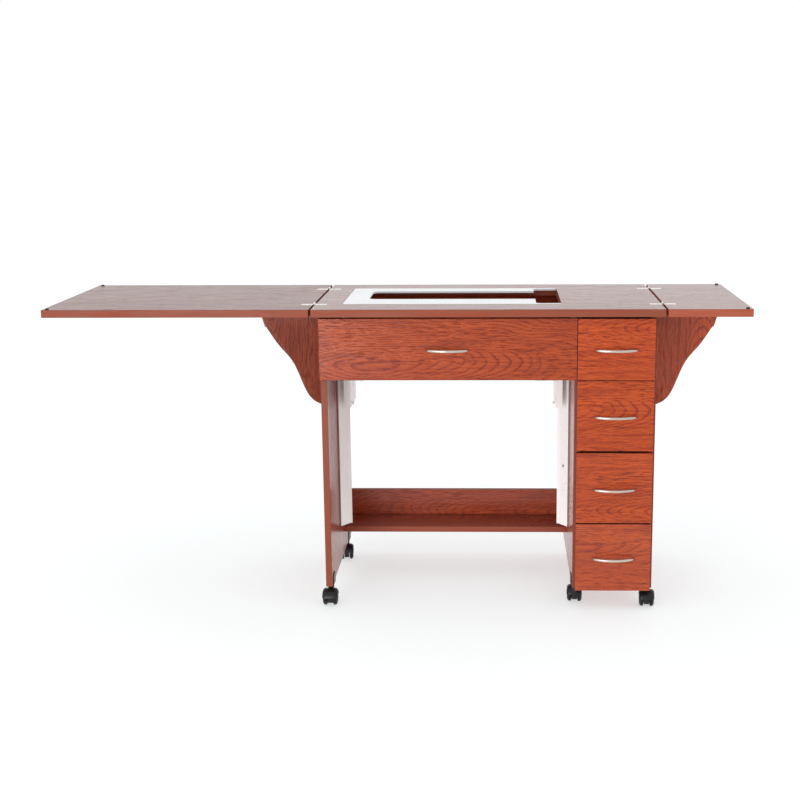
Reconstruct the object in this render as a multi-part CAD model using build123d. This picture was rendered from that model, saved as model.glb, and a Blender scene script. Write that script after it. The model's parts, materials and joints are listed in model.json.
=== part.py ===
from build123d import *
import math
import os

# A sewing cabinet on casters: a fixed top with two fold-over leaves, a lift for the
# machine, a drop-front panel, four drawers, two swing-out wings under the leaves.
# All sizes are millimetres.  The design frame has X = 0 at the middle of the fixed
# top, Y = 0 at its front edge and Z = 0 on the floor; `save` moves every node so
# that the origin is the bottom centre of the whole table's box.

# ---- driving dimensions ------------------------------------------------------
TOP_WIDTH = 857.0
TOP_DEPTH = 497.0
TOP_HEIGHT = 768.0
TOP_THICK = 19.0
LEFT_LEAF_WIDTH = 651.0
RIGHT_LEAF_WIDTH = 203.0
LEAF_GAP = 6.0              # seam between the fixed top and each leaf
LEAF_AXIS_LIFT = 1.5        # leaf hinge axis above the top surface

BOARD = 16.0                # carcass board
SIDE_OUTER = 412.0          # outer face of both side panels
PARTITION_LEFT = 212.0      # knee-side face of the pedestal partition
CARCASS_FRONT = 28.0
CARCASS_BACK = 480.0
CARCASS_BOTTOM = 54.0
UNDER_TOP = TOP_HEIGHT - TOP_THICK
EDGE_EASE = 0.8             # rounding of the banded board edges

OPENING_X = (-363.5, 182.5)
OPENING_Y = (100.0, 412.0)
INSERT_THICK = 5.0
INSERT_FIT = 0.5
INSERT_LEDGE = 10.0
CUTOUT_LEFT = -305.0
CUTOUT_Y = (195.0, 350.0)
CUTOUT_WIDE_FROM = 120.0
INSERT_ARM = 12.0

FRONT_FACE = 11.5           # outer face of the drawer fronts and drop panel
FRONT_THICK = 16.0
DROP_PANEL_X = (-412.0, 217.0)
DROP_PANEL_Z = (592.0, 744.0)
DRAWER_X = (218.5, 406.5)
DRAWER_FRONTS_Z = ((591.5, 743.0), (414.0, 590.0), (229.6, 408.6), (52.0, 226.0))
DRAWER_HANDLES_Z = (667.0, 501.0, 317.0, 138.0)
DRAWER_BOX_HEIGHTS = (96.0, 110.0, 110.0, 110.0)
DRAWER_BOX_LENGTH = 400.0
DRAWER_SIDE = 12.0
RUNNER_SPACE = 12.7         # room for a runner on each side of a drawer box

HANDLE_SPAN = 106.0
HANDLE_LEG = 9.5
HANDLE_LEG_ANGLE = 65.0
HANDLE_BOW_ANGLE = 27.5
HANDLE_CORNER_R = 10.0
HANDLE_HALF_THICK = 2.1
HANDLE_HALF_HEIGHT = 3.3

SHELF_TOP = 116.0
SHELF_FRONT = 345.0
SHELF_BACK_TOP = 188.0
PEDESTAL_BOTTOM_Z = (56.0, 72.0)

WING_Y = (242.0, 258.0)
WING_TOP = 747.5
WING_REACH = 193.0          # tip of the wing from the side panel's face

POST_Z = (155.0, 745.0)
POST_FRONT = 221.0
POST_SHEET = 2.0
SPRING_Y = 275.0            # gas spring axis, measured from the front edge
SPRING_U = 15.0             # gas spring axis, measured from the wall
PLATFORM_TOP = 655.0
PLATFORM_Y = (130.0, 385.0)
BRACKET_Z = (482.0, 650.0)
BRACKET_FRONT = 205.0

CASTER_TRAIL = 17.0
WHEEL_R = 20.0
CASTER_HUNG = 52.0          # underside of the bracket foot
# x, y and resting swivel angle of each caster; zero points the wheels to the front
CASTERS = (
    ("front_left", -404.0, 64.0, 0.0),
    ("rear_left", -404.0, 428.0, 6.0),
    ("front_middle", 220.0, 64.0, 174.0),
    ("front_right", 404.0, 64.0, -4.0),
    ("rear_right", 404.0, 428.0, -14.0),
)

LEFT_END = -TOP_WIDTH / 2 - LEAF_GAP - LEFT_LEAF_WIDTH
RIGHT_END = TOP_WIDTH / 2 + LEAF_GAP + RIGHT_LEAF_WIDTH
STEEP = math.radians(HANDLE_LEG_ANGLE)
SHALLOW = math.radians(HANDLE_BOW_ANGLE)
HANDLE_CORNER_RUN = HANDLE_CORNER_R * (math.sin(STEEP) - math.sin(SHALLOW))
HANDLE_BOW_R = (HANDLE_SPAN / 2 - HANDLE_LEG * math.cos(STEEP) - HANDLE_CORNER_RUN) / math.sin(SHALLOW)
# front of the handle bows from the fronts' face
HANDLE_REACH = (
    HANDLE_LEG * math.sin(STEEP)
    + HANDLE_CORNER_R * (math.cos(SHALLOW) - math.cos(STEEP))
    + HANDLE_BOW_R * (1 - math.cos(SHALLOW))
    + HANDLE_HALF_THICK
)
X_MIDDLE = (LEFT_END + RIGHT_END) / 2
Y_MIDDLE = (FRONT_FACE - HANDLE_REACH + TOP_DEPTH) / 2

os.makedirs("parts", exist_ok=True)


# ---- helpers -------------------------------------------------------------------
def save(name, shapes):
    """Write one node, moved into the table's own frame."""
    solids = shapes if isinstance(shapes, list) else [shapes]
    moved = [Pos(-X_MIDDLE, -Y_MIDDLE, 0) * s for s in solids]
    node = moved[0] if len(moved) == 1 else Compound(children=moved)
    export_step(node, f"parts/{name}.step")


def block(x, y, z):
    """A plain block between the given (low, high) pairs."""
    size = [b - a for a, b in (x, y, z)]
    middle = [(a + b) / 2 for a, b in (x, y, z)]
    return Pos(*middle) * Box(*size)


def board(x, y, z, ease=EDGE_EASE):
    """A board with eased edges."""
    plain = block(x, y, z)
    return fillet(plain.edges(), ease)


def span(a, b):
    """Two numbers as a (low, high) pair, whichever way round they come."""
    return (min(a, b), max(a, b))


def rod(x, y, z, radius, length, along):
    """A round bar centred on a point and lying along X, Y or Z."""
    turn = {"X": Rot(0, 90, 0), "Y": Rot(90, 0, 0), "Z": Rot(0, 0, 0)}[along]
    return Pos(x, y, z) * turn * Cylinder(radius, length)


def make_screw(head_r, shank_r, length, countersunk):
    """A cross-head wood screw with its seat at Z = 0 and its shank down -Z, and its blank."""
    shank = Pos(0, 0, -length / 2) * Cylinder(shank_r, length)
    if countersunk:
        depth = head_r - shank_r
        head = Pos(0, 0, -depth / 2) * Cone(shank_r, head_r, depth)
        recess_top = 0.0
    else:
        depth = head_r * 0.55
        head = Pos(0, 0, depth / 2) * Cylinder(head_r, depth)
        head = fillet(head.edges().group_by(Axis.Z)[-1], depth * 0.6)
        recess_top = depth
    arm = head_r * 1.1
    cross = Box(arm, head_r * 0.26, 1.6) + Box(head_r * 0.26, arm, 1.6)
    blank = head + shank
    return blank - Pos(0, 0, recess_top) * cross, blank


SMALL_SCREW = make_screw(2.6, 1.3, 9.0, True)
PAN_SCREW = make_screw(3.6, 1.75, 13.0, False)


def drive(kind, x, y, z, into):
    """Place a screw and its blank at a point with the shank pointing along `into`."""
    away = Vector(*into) * -1
    place = Plane(origin=(x, y, z), z_dir=away).location
    return place * kind[0], place * kind[1]


def cut(solid, tools):
    """Take a list of tools out of a solid."""
    for tool in tools:
        solid = solid - tool
    return solid


def knuckle_sets(length, radius, bore, gap=0.3):
    """Three hinge knuckles along Z: the outer pair, the middle one and the pin."""
    third = length / 3
    hole = Cylinder(bore + 0.05, length * 2)
    outer = []
    for side in (-1, 1):
        outer.append(Pos(0, 0, side * (third + gap / 2)) * Cylinder(radius, third - gap) - hole)
    middle = Cylinder(radius, third - gap) - hole
    pin = Cylinder(bore, length)
    return outer, middle, pin


cabinet_screws = []
cabinet_screw_blanks = []


def fasten(solid, kind, x, y, z, into, side=1):
    """Screw a cabinet-side piece down: keep the screw and return the piece with its seat."""
    screw, blank = drive(kind, x, y, z, into)
    cabinet_screws.append(mirror_if(screw, side))
    cabinet_screw_blanks.append(mirror_if(blank, side))
    return solid - blank


def mirror_if(shape, side):
    """The shape itself on the right, its mirror image on the left."""
    return shape if side > 0 else mirror(shape, Plane.YZ)


# ---- fixed top, with the rebated opening -----------------------------------------
top = board((-TOP_WIDTH / 2, TOP_WIDTH / 2), (0, TOP_DEPTH), (UNDER_TOP, TOP_HEIGHT))
rebate = block(OPENING_X, OPENING_Y, (TOP_HEIGHT - INSERT_THICK, TOP_HEIGHT + 5))
rebate = fillet(rebate.edges().filter_by(Axis.Z), 9)
well_hole = block(
    (OPENING_X[0] + INSERT_LEDGE, OPENING_X[1]),
    (OPENING_Y[0] + INSERT_LEDGE, OPENING_Y[1] - INSERT_LEDGE),
    (UNDER_TOP - 5, TOP_HEIGHT + 5),
)
well_hole = fillet(well_hole.edges().filter_by(Axis.Z), 6)
top = top - rebate - well_hole

# ---- leaves, bumpers and their flush hinges ----------------------------------------
LEAF_HINGE_Y = (95.0, 400.0)
LEAF_HINGE_LENGTH = 22.0
LEAF_PLATE_THICK = 2.0
LEAF_PLATE_REACH = 32.0
LEAF_KNUCKLE_R = 2.7
LEAF_PIN_R = 1.25
LEAF_SCREW_PLACES = ((12.0, -6.0), (12.0, 6.0), (24.0, 0.0))
LEAF_AXIS_Z = TOP_HEIGHT + LEAF_AXIS_LIFT
SEAM = TOP_WIDTH / 2 + LEAF_GAP / 2
BUMPER_INSET = 12.0
BUMPER_R = 4.5
BUMPER_HEIGHT = 2.7

hinge_pins = []
leaf_fixed_plates = []


def leaf_plate(side, y, inner, tab_spans):
    """One plate of a flush leaf hinge: `inner` is the fixed one, on the cabinet."""
    out = -1 if inner else 1
    edge = SEAM + out * LEAF_GAP / 2
    far = SEAM + out * LEAF_PLATE_REACH
    z = (TOP_HEIGHT - LEAF_PLATE_THICK, TOP_HEIGHT)
    half = LEAF_HINGE_LENGTH / 2
    plate = block(span(side * edge, side * far), (y - half, y + half), z)
    tip = plate.edges().filter_by(Axis.Z).group_by(Axis.X)
    tip = tip[0] if side * out < 0 else tip[-1]
    plate = fillet(tip, 4)
    for low, high in tab_spans:
        plate = plate + block(span(side * edge, side * SEAM), (y + low, y + high), z)
    return plate


def build_leaf(side, width):
    """A leaf board with the moving halves of its hinges and its bumpers."""
    inner_edge = TOP_WIDTH / 2 + LEAF_GAP
    outer_edge = inner_edge + width
    leaf = board(span(side * inner_edge, side * outer_edge), (0, TOP_DEPTH), (UNDER_TOP, TOP_HEIGHT))
    plates = []
    screws = []
    for y in LEAF_HINGE_Y:
        outer, middle, pin = knuckle_sets(LEAF_HINGE_LENGTH, LEAF_KNUCKLE_R, LEAF_PIN_R)
        place = Pos(side * SEAM, y, LEAF_AXIS_Z) * Rot(90, 0, 0)
        bore = place * Cylinder(LEAF_PIN_R + 0.05, LEAF_HINGE_LENGTH * 2)
        third = LEAF_HINGE_LENGTH / 3 - 0.3
        centre = LEAF_HINGE_LENGTH / 3 + 0.15
        ends = [(-centre - third / 2, -centre + third / 2), (centre - third / 2, centre + third / 2)]
        fixed = leaf_plate(side, y, True, ends)
        moving = leaf_plate(side, y, False, [(-third / 2, third / 2)])
        moving_blanks = []
        for reach, offset in LEAF_SCREW_PLACES:
            fixed = fasten(fixed, SMALL_SCREW, side * (SEAM - reach), y + offset, TOP_HEIGHT, (0, 0, -1))
            screw, blank = drive(SMALL_SCREW, side * (SEAM + reach), y + offset, TOP_HEIGHT, (0, 0, -1))
            screws.append(screw)
            moving_blanks.append(blank)
        leaf = cut(leaf, moving_blanks)
        moving = cut(moving, moving_blanks)
        leaf_fixed_plates.append(cut(fixed + place * outer[0] + place * outer[1], [bore]))
        plates.append(cut(moving + place * middle, [bore]))
        hinge_pins.append(place * pin)
        leaf = leaf - moving
    bumpers = []
    for y in (BUMPER_INSET, TOP_DEPTH - BUMPER_INSET):
        dome = Cylinder(BUMPER_R, BUMPER_HEIGHT)
        dome = fillet(dome.edges().group_by(Axis.Z)[-1], BUMPER_HEIGHT * 0.6)
        x = side * (outer_edge - BUMPER_INSET)
        bumpers.append(Pos(x, y, TOP_HEIGHT + BUMPER_HEIGHT / 2) * dome)
    name = "left" if side < 0 else "right"
    save(f"{name}_leaf", leaf)
    save(f"{name}_leaf_hinge_plates", plates + screws)
    save(f"{name}_leaf_bumpers", bumpers)


build_leaf(-1, LEFT_LEAF_WIDTH)
build_leaf(1, RIGHT_LEAF_WIDTH)
top = cut(top, leaf_fixed_plates)

# ---- insert ------------------------------------------------------------------------
insert = block(
    (OPENING_X[0] + INSERT_FIT, OPENING_X[1] - INSERT_FIT),
    (OPENING_Y[0] + INSERT_FIT, OPENING_Y[1] - INSERT_FIT),
    (TOP_HEIGHT - INSERT_THICK, TOP_HEIGHT),
)
insert = fillet(insert.edges().filter_by(Axis.Z), 8.5)
bed_hole = block((CUTOUT_LEFT, OPENING_X[1] + 5), CUTOUT_Y, (TOP_HEIGHT - 20, TOP_HEIGHT + 20))
bed_hole = fillet(bed_hole.edges().filter_by(Axis.Z), 18)
column_hole = block(
    (CUTOUT_WIDE_FROM, OPENING_X[1] + 5),
    (OPENING_Y[0] + INSERT_FIT + INSERT_ARM, OPENING_Y[1] - INSERT_FIT - INSERT_ARM),
    (TOP_HEIGHT - 20, TOP_HEIGHT + 20),
)
column_corners = column_hole.edges().filter_by(Axis.Z).group_by(Axis.X)[0]
column_hole = fillet(column_corners, 12)
insert = insert - bed_hole - column_hole
insert = chamfer(insert.faces().sort_by(Axis.Z)[-1].edges(), 0.6)
save("bed_insert", insert)

# ---- swing-out wings ------------------------------------------------------------------
WING_KNUCKLE_R = 3.0
WING_PIN_R = 1.5
WING_HINGE_Z = (560.0, 690.0)
WING_HINGE_LENGTH = 60.0
WING_LEAF_THICK = 1.5
WING_LEAF_WIDTH = 25.0
WING_AXIS_OUT = 3.3         # hinge axis from the side panel's face
wing_fixed_leaves = []
# the wing's lower edge, as distance from the panel and height of the point
WING_EDGE = ((7.0, 480.0), (50.0, 496.5), (76.0, 541.0), (104.0, 603.0), (140.0, 647.0), (169.0, 690.0), (185.0, 738.0))


def build_wing(side):
    """An ogee board that swings on two butt hinges at its rear face."""
    face = SIDE_OUTER
    lower = Spline(*[(u, z) for u, z in WING_EDGE], tangents=[(1, 0.08), (0.3, 1)])
    first = WING_EDGE[0]
    last = WING_EDGE[-1]
    rim = [
        lower,
        Line(last, (WING_REACH - 4, WING_TOP)),
        Line((WING_REACH - 4, WING_TOP), (first[0], WING_TOP)),
        Line((first[0], WING_TOP), first),
    ]
    outline = make_face(Wire(rim))
    wing = extrude(Plane.XZ.location * outline, WING_Y[1] - WING_Y[0])
    wing = Pos(0, WING_Y[1] - wing.bounding_box().max.Y, 0) * wing
    wing = Pos(face, 0, 0) * wing
    moving = []
    screws = []
    blanks = []
    for z in WING_HINGE_Z:
        outer, middle, pin = knuckle_sets(WING_HINGE_LENGTH, WING_KNUCKLE_R, WING_PIN_R)
        axis_x = face + WING_AXIS_OUT
        axis_y = WING_Y[1]
        place = Pos(axis_x, axis_y, z)
        bore = place * Cylinder(WING_PIN_R + 0.05, WING_HINGE_LENGTH * 2)
        half = WING_HINGE_LENGTH / 2
        third = WING_HINGE_LENGTH / 3
        fixed = block((face, face + WING_LEAF_THICK), (axis_y, axis_y + WING_LEAF_WIDTH), (z - half, z + half))
        clear = block((face, axis_x + 5), (axis_y - 5, axis_y + 4), (z - third / 2 - 0.15, z + third / 2 + 0.15))
        fixed = fixed - clear
        swing = block((axis_x, axis_x + WING_LEAF_WIDTH), (axis_y, axis_y + WING_LEAF_THICK), (z - half, z + half))
        for low, high in ((-half - 1, -third / 2 + 0.15), (third / 2 - 0.15, half + 1)):
            swing = swing - block((axis_x - 1, axis_x + 4), (axis_y - 5, axis_y + 5), (z + low, z + high))
        for dz in (-20.0, 0.0, 20.0):
            fixed = fasten(fixed, SMALL_SCREW, face + WING_LEAF_THICK, axis_y + 16, z + dz, (-1, 0, 0), side)
            screw, blank = drive(SMALL_SCREW, axis_x + 16, axis_y + WING_LEAF_THICK, z + dz, (0, -1, 0))
            screws.append(screw)
            blanks.append(blank)
        swing = cut(swing, blanks)
        wing_fixed_leaves.append(mirror_if(cut(fixed + place * outer[0] + place * outer[1], [bore]), side))
        moving.append(cut(swing + place * middle, [bore]))
        hinge_pins.append(mirror_if(place * pin, side))
    wing = cut(wing, blanks)
    name = "left" if side < 0 else "right"
    save(f"{name}_wing", mirror_if(wing, side))
    save(f"{name}_wing_hinge_leaves", [mirror_if(s, side) for s in moving + screws])


build_wing(-1)
build_wing(1)


# ---- bow handle, common to the drop panel and the drawers --------------------------------
def bow_handle(x, z, screw_length):
    """A bowed bar between two feet on the front's face, and its two screws."""
    half = HANDLE_SPAN / 2
    leg_a = Line((-half, 0), (-half + HANDLE_LEG * math.cos(STEEP), -HANDLE_LEG * math.sin(STEEP)))
    corner_a = JernArc(leg_a @ 1, leg_a % 1, HANDLE_CORNER_R, HANDLE_LEG_ANGLE - HANDLE_BOW_ANGLE)
    bow = JernArc(corner_a @ 1, corner_a % 1, HANDLE_BOW_R, 2 * HANDLE_BOW_ANGLE)
    corner_b = JernArc(bow @ 1, bow % 1, HANDLE_CORNER_R, HANDLE_LEG_ANGLE - HANDLE_BOW_ANGLE)
    leg_b = Line(corner_b @ 1, (half, 0))
    path = Wire([leg_a, corner_a, bow, corner_b, leg_b])
    section = Plane(origin=leg_a @ 0, x_dir=(0, 0, 1), z_dir=leg_a % 0).location * Ellipse(
        HANDLE_HALF_HEIGHT, HANDLE_HALF_THICK
    )
    bar = sweep(section, path=path)
    bar = bar & Pos(0, -25, 0) * Box(HANDLE_SPAN * 2, 50, 40)
    solids = [Pos(x, FRONT_FACE, z) * bar]
    for side in (-1, 1):
        foot_x = x + side * (half - 0.4)
        shank = rod(foot_x, FRONT_FACE + screw_length / 2, z, 2.0, screw_length, "Y")
        head = rod(foot_x, FRONT_FACE + screw_length + 1.2, z, 4.0, 2.4, "Y")
        solids.append(shank + head)
    return solids


# ---- drop panel -----------------------------------------------------------------------------
DROP_AXIS_Y = 29.2
DROP_AXIS_Z = 590.0
DROP_KNUCKLE_R = 2.0
DROP_PIN_R = 1.0
DROP_HINGE_X = (-330.0, 140.0)
DROP_HINGE_LENGTH = 50.0
DROP_LEAF_THICK = 1.2
CATCH_X = (-370.0, 186.0)
RAIL_Y = (30.0, 90.0)
FRONT_Y = (FRONT_FACE, FRONT_FACE + FRONT_THICK)
FRONT_BACK = FRONT_FACE + FRONT_THICK

drop_panel = board(DROP_PANEL_X, FRONT_Y, DROP_PANEL_Z)
drop_handle = bow_handle(-98.0, 667.0, FRONT_THICK)
drop_panel = cut(drop_panel, drop_handle[1:])
save("drop_panel", drop_panel)
save("drop_panel_handle", drop_handle)

drop_fittings = []
drop_fixed_leaves = []
for x in DROP_HINGE_X:
    outer, middle, pin = knuckle_sets(DROP_HINGE_LENGTH, DROP_KNUCKLE_R, DROP_PIN_R)
    place = Pos(x, DROP_AXIS_Y, DROP_AXIS_Z) * Rot(0, 90, 0)
    bore = place * Cylinder(DROP_PIN_R + 0.05, DROP_HINGE_LENGTH * 2)
    half = DROP_HINGE_LENGTH / 2
    sixth = DROP_HINGE_LENGTH / 6
    under_rail = (DROP_PANEL_Z[0] - DROP_LEAF_THICK, DROP_PANEL_Z[0])
    fixed = block((x - half, x + half), (DROP_AXIS_Y, 52), under_rail)
    fixed = fixed - block((x - sixth - 0.15, x + sixth + 0.15), (20, 33), (580, 600))
    swing = block((x - half, x + half), (FRONT_BACK, FRONT_BACK + DROP_LEAF_THICK), (DROP_AXIS_Z, 612))
    for side in (-1, 1):
        notch = span(x + side * (sixth - 0.15), x + side * (half + 1))
        swing = swing - block(notch, (20, 40), (580, 592.3))
    drop_fixed_leaves.append(cut(fixed + place * outer[0] + place * outer[1], [bore]))
    drop_fittings.append(cut(swing + place * middle, [bore]))
    hinge_pins.append(place * pin)
strikes = [block((x - 11, x + 11), (FRONT_BACK, FRONT_BACK + 1.5), (724, 742)) for x in CATCH_X]
save("drop_panel_hinge_leaves_and_strikes", drop_fittings + strikes)
catches = []
for x in CATCH_X:
    body = board((x - 13, x + 13), (FRONT_BACK + 2, FRONT_BACK + 24), (728, UNDER_TOP), 1.0)
    catches.append(body)
save("magnetic_catches", catches)

# ---- carcass boards ---------------------------------------------------------------------------
CARCASS_Y = (CARCASS_FRONT, CARCASS_BACK)
CARCASS_Z = (CARCASS_BOTTOM, UNDER_TOP)
left_panel = board((-SIDE_OUTER, -SIDE_OUTER + BOARD), CARCASS_Y, CARCASS_Z)
partition = board((PARTITION_LEFT, PARTITION_LEFT + BOARD), CARCASS_Y, CARCASS_Z)
right_panel = board((SIDE_OUTER - BOARD, SIDE_OUTER), CARCASS_Y, CARCASS_Z)
KNEE_X = (-SIDE_OUTER + BOARD, PARTITION_LEFT)
BAY_X = (PARTITION_LEFT + BOARD, SIDE_OUTER - BOARD)
pedestal_bottom = board(BAY_X, (34, 470), PEDESTAL_BOTTOM_Z)
save("pedestal_back", board(BAY_X, (470, CARCASS_BACK), CARCASS_Z))
save("rear_apron", board(KNEE_X, (CARCASS_BACK - BOARD, CARCASS_BACK), (640, UNDER_TOP)))
save("front_rail", board(KNEE_X, RAIL_Y, (DROP_PANEL_Z[0], DROP_PANEL_Z[0] + BOARD)))
save("shelf", board(KNEE_X, (SHELF_FRONT, CARCASS_BACK), (SHELF_TOP - BOARD, SHELF_TOP)))
save("shelf_back_board", board(KNEE_X, (CARCASS_BACK - BOARD, CARCASS_BACK), (SHELF_TOP, SHELF_BACK_TOP)))


# ---- drawers --------------------------------------------------------------------------------------
RUNNER_SHEET = 1.2
RUNNER_HEIGHT = 32.0
BOX_X = (BAY_X[0] + RUNNER_SPACE, BAY_X[1] - RUNNER_SPACE)
BOX_Y = (FRONT_BACK, FRONT_BACK + DRAWER_BOX_LENGTH)
fixed_runners = []


def build_drawer(number):
    """A front, a hollow box with its two moving runners, and a handle."""
    front_z = DRAWER_FRONTS_Z[number]
    handle_z = DRAWER_HANDLES_Z[number]
    height = DRAWER_BOX_HEIGHTS[number]
    low = max(front_z[0] + 22, PEDESTAL_BOTTOM_Z[1] + 18)
    box = board(BOX_X, BOX_Y, (low, low + height))
    hollow = block(
        (BOX_X[0] + DRAWER_SIDE, BOX_X[1] - DRAWER_SIDE),
        (BOX_Y[0] + DRAWER_SIDE, BOX_Y[1] - DRAWER_SIDE),
        (low + 12, low + height + 5),
    )
    relief = block(
        (BOX_X[0] + DRAWER_SIDE, BOX_X[1] - DRAWER_SIDE),
        (BOX_Y[0] + DRAWER_SIDE, BOX_Y[1] - DRAWER_SIDE),
        (low - 5, low + 8),
    )
    box = box - hollow - relief
    handle = bow_handle((DRAWER_X[0] + DRAWER_X[1]) / 2, handle_z, FRONT_THICK + DRAWER_SIDE)
    front = board(DRAWER_X, FRONT_Y, front_z)
    box = cut(box, handle[1:])
    front = cut(front, handle[1:])
    runners = []
    rail_z = low - 4
    for side in (-1, 1):
        wall = (BAY_X[0] if side < 0 else BAY_X[1])
        skin = (BOX_X[0] if side < 0 else BOX_X[1])
        y = (34, 434)
        web = span(wall, wall - side * RUNNER_SHEET)
        lip = span(wall, wall - side * 9)
        channel = block(web, y, (rail_z, rail_z + RUNNER_HEIGHT))
        for z in (rail_z, rail_z + RUNNER_HEIGHT - RUNNER_SHEET):
            channel = channel + block(lip, y, (z, z + RUNNER_SHEET))
        fixed_runners.append(channel)
        moving_y = (BOX_Y[0] + 2, BOX_Y[1])
        strip = block(span(skin, skin + side * RUNNER_SHEET), moving_y, (low + 2, low + 40))
        shelf_x = span(skin, wall - side * (RUNNER_SHEET + 0.8))
        strip = strip + block(shelf_x, moving_y, (low + 2, low + 2 + RUNNER_SHEET))
        glide = block(span(skin + side * 5, wall - side * (RUNNER_SHEET + 0.8)), (BOX_Y[1] - 30, BOX_Y[1]),
                      (low + 2 + RUNNER_SHEET, rail_z + RUNNER_HEIGHT - RUNNER_SHEET - 0.5))
        runners.append(strip)
        runners.append(glide)
    name = f"drawer_{number + 1}"
    save(f"{name}_front", front)
    save(f"{name}_box", [box] + runners)
    save(f"{name}_handle", handle)


for number in range(len(DRAWER_FRONTS_Z)):
    build_drawer(number)
save("drawer_runners", fixed_runners)


# ---- lift: posts, gas springs, brackets, platform ------------------------------------------------------
def folded(points, thick, z):
    """A sheet-metal section: a strip along the points, thickened to its left, raised in Z."""
    count = len(points)
    other = []
    for i, (x, y) in enumerate(points):
        before = points[i - 1] if i > 0 else None
        after = points[i + 1] if i < count - 1 else None
        normals = []
        for a, b in ((before, (x, y)), ((x, y), after)):
            if a is None or b is None:
                continue
            length = math.hypot(b[0] - a[0], b[1] - a[1])
            normals.append((-(b[1] - a[1]) / length, (b[0] - a[0]) / length))
        nx = sum(n[0] for n in normals) / len(normals)
        ny = sum(n[1] for n in normals) / len(normals)
        scale = thick / (nx * nx + ny * ny)
        other.append((x + nx * scale, y + ny * scale))
    outline = make_face(Polyline(*points, *reversed(other), close=True))
    return extrude(Pos(0, 0, z[0]) * outline, z[1] - z[0])


# profile of the post: distance from the wall, distance from the front edge
POST_PROFILE = ((0.0, 330.0), (0.0, 226.0), (3.5, POST_FRONT), (24.5, 250.0), (30.0, 250.0))
TRACK_Y = (292.0, 332.0)
SLIDER_Z = (500.0, 650.0)
BRACKET_U = 38.0            # inner face of the bracket, from the wall
LUG_Z = (640.0, 643.0)
posts = {}
spring_cylinders = []
spring_rods = []
brackets = []
stop_bolts = []


def to_wall(shape, side):
    """Move a shape modelled with X as distance from a wall onto that wall of the knee space."""
    if side < 0:
        return Pos(KNEE_X[0], 0, 0) * shape
    return Pos(KNEE_X[1], 0, 0) * mirror(shape, Plane.YZ)


for side in (-1, 1):
    post = folded(POST_PROFILE, POST_SHEET, POST_Z)
    track = block((POST_SHEET, 14), TRACK_Y, POST_Z) - block((POST_SHEET + 2, 15), (294, 330), POST_Z)
    track = track - block((0, POST_SHEET), (0, 400), POST_Z)
    post = post + block((0, POST_SHEET), (300, 332), POST_Z) + track
    foot = block((POST_SHEET, 24), (262, 288), (POST_Z[0], POST_Z[0] + 3))
    post = post + foot
    if side > 0:
        slope = Vector(21, 29, 0).normalized()
        inward = Vector(-slope.Y, slope.X, 0)
        for z, radius in ((268.0, 1.6), (252.0, 1.6)):
            drill = Plane(origin=(14, POST_FRONT + 14.5, z), z_dir=inward).location * Cylinder(radius, 12)
            post = post - drill
        seat = (14.0, POST_FRONT + (14.0 - 3.5) * 29 / 21, 318.0)
        screw, blank = drive(PAN_SCREW, *seat, (-slope.Y, slope.X, 0))
        post = post - blank
        cabinet_screws.append(to_wall(screw, side))
    posts[side] = to_wall(post, side)
    cylinder = rod(SPRING_U, SPRING_Y, 310, 9.5, 300, "Z") - rod(SPRING_U, SPRING_Y, 311, 8.0, 288, "Z")
    cylinder = cylinder - rod(SPRING_U, SPRING_Y, 440, 4.05, 60, "Z")
    cylinder = cylinder + rod(SPRING_U, SPRING_Y, 159, 5.0, 2, "Z")
    spring_cylinders.append(to_wall(cylinder, side))
    piston = rod(SPRING_U, SPRING_Y, 350, 7.9, 10, "Z")
    spring_rod = rod(SPRING_U, SPRING_Y, 492.5, 4.0, 295, "Z") + piston
    spring_rods.append(to_wall(spring_rod, side))
    slider = block((POST_SHEET + 2.3, 14.3), (294.4, 329.6), SLIDER_Z)
    arm_path = ((14.3, 330.0), (BRACKET_U, 330.0), (BRACKET_U, BRACKET_FRONT), (20.0, BRACKET_FRONT))
    arm = folded(tuple(reversed(arm_path)), POST_SHEET, BRACKET_Z)
    join = block((14.3, 16.3), (296, 330), SLIDER_Z)
    lug = block((8, BRACKET_U), (265, 285), LUG_Z)
    seat_flange = block((BRACKET_U - 1, BRACKET_U + 26), (140, 330), (637, 639))
    gusset = block((BRACKET_U - 2, BRACKET_U), (140, 330), (600, 639))
    brackets.append(to_wall(slider + arm + join + lug + seat_flange + gusset, side))
    bolt = rod(BRACKET_U + 4, 213, 492, 4.5, 8, "X")
    bolt = fillet(bolt.edges().group_by(Axis.X)[-1], 2.0)
    stop_bolts.append(to_wall(bolt, side))

save("left_lift_post", posts[-1])
save("right_lift_post", posts[1])
save("gas_spring_cylinders", spring_cylinders)
save("gas_spring_rods", spring_rods)
save("lift_brackets", brackets)
save("lift_stop_bolts", stop_bolts)
PLATFORM_X = (KNEE_X[0] + BRACKET_U + 1, KNEE_X[1] - BRACKET_U - 1)
save("machine_platform", board(PLATFORM_X, PLATFORM_Y, (639, PLATFORM_TOP), 1.2))


# ---- casters -----------------------------------------------------------------------------------------------
BRACKET_LENGTH = 38.0
BRACKET_LEG = 28.0
SOCKET_R = 5.5
STEM_R = 4.0
WHEEL_INNER = 7.5
HOOD_DISC_R = 16.0
HOOD_WIDTH = 13.4
caster_brackets = []
caster_sockets = []
caster_holes = []


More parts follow.
